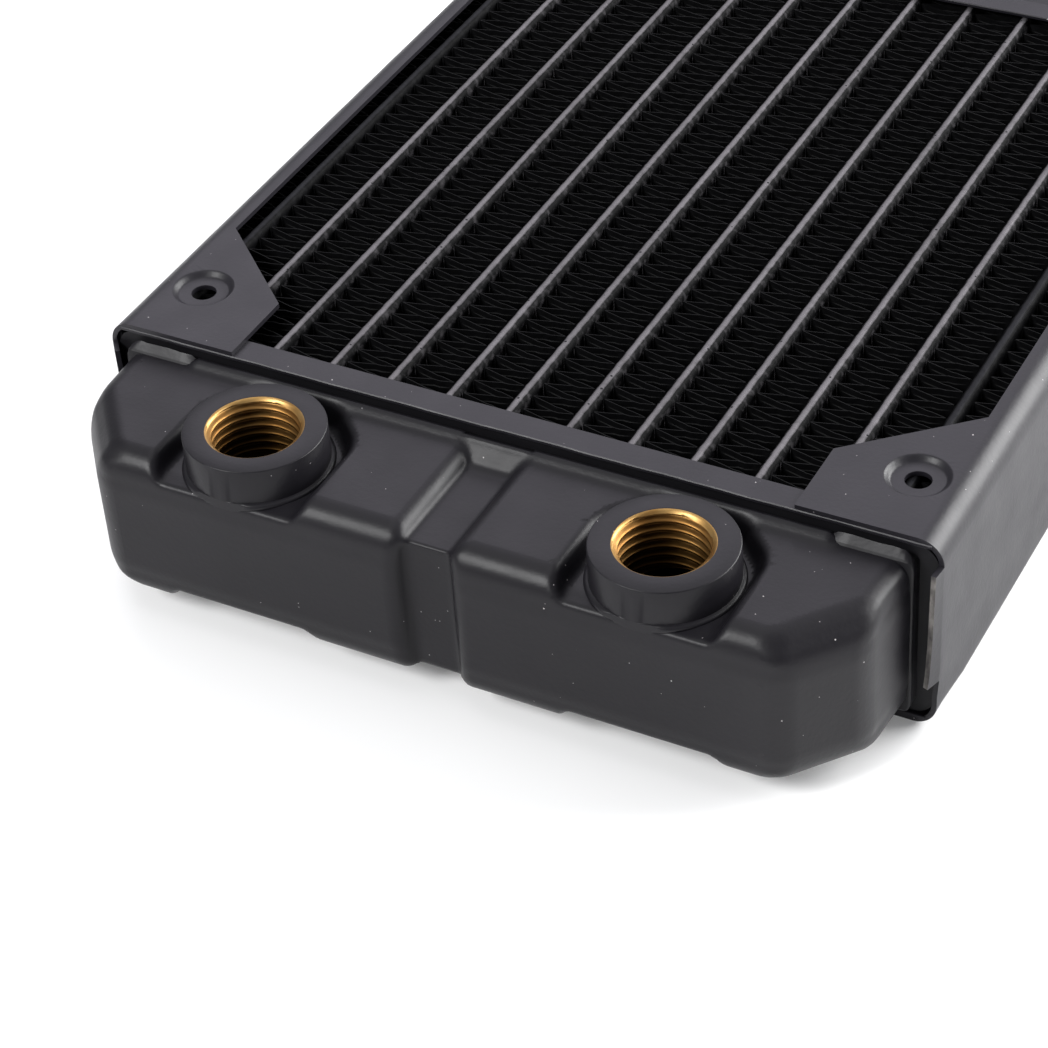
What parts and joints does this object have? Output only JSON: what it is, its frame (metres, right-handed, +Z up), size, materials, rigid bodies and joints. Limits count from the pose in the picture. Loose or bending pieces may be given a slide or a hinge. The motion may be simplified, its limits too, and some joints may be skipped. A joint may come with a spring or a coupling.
{
  "type": "liquid cooling radiator",
  "caption": "Slim single-fan liquid cooling radiator: flat-tube and folded-fin core in folded side channels, between a pressed front tank with threaded ports and a plain return tank.",
  "frame": {"origin": "centre of the underside, midway between the ends of the two tanks", "axes": "+X across the core, +Y along the core away from the ported tank, +Z up through the face that carries the ports"},
  "size_m": [0.121, 0.162, 0.03],
  "materials": {
    "tank_paint": "satin black powder paint, slightly violet",
    "frame_paint": "satin black powder paint, slightly violet",
    "fin_paint": "thin matt black spray over folded copper strip",
    "tube_metal": "dull tinned edge, black overspray at the sides",
    "port_brass": "bare machined brass in the bore, black paint outside",
    "divider_metal": "plain sheet, hidden inside the front tank"
  },
  "bodies": {
    "root": {"front_tank": "tank_paint", "rear_tank": "tank_paint", "tank_divider": "divider_metal", "port_bush_left": "port_brass", "port_bush_right": "port_brass", "front_header": "tank_paint", "rear_header": "tank_paint", "side_channel_left": "frame_paint", "side_channel_right": "frame_paint", "core_side_left": "frame_paint", "core_side_right": "frame_paint", "front_top_strip": "frame_paint", "front_bottom_strip": "frame_paint", "rear_top_strip": "frame_paint", "rear_bottom_strip": "frame_paint", "tube_1": "tube_metal", "tube_2": "tube_metal", "tube_3": "tube_metal", "tube_4": "tube_metal", "tube_5": "tube_metal", "tube_6": "tube_metal", "tube_7": "tube_metal", "tube_8": "tube_metal", "tube_9": "tube_metal", "tube_10": "tube_metal", "tube_11": "tube_metal", "tube_12": "tube_metal", "tube_13": "tube_metal", "fin_1": "fin_paint", "fin_2": "fin_paint", "fin_3": "fin_paint", "fin_4": "fin_paint", "fin_5": "fin_paint", "fin_6": "fin_paint", "fin_7": "fin_paint", "fin_8": "fin_paint", "fin_9": "fin_paint", "fin_10": "fin_paint", "fin_11": "fin_paint", "fin_12": "fin_paint", "fin_13": "fin_paint", "fin_14": "fin_paint"}
  },
  "joints": []
}
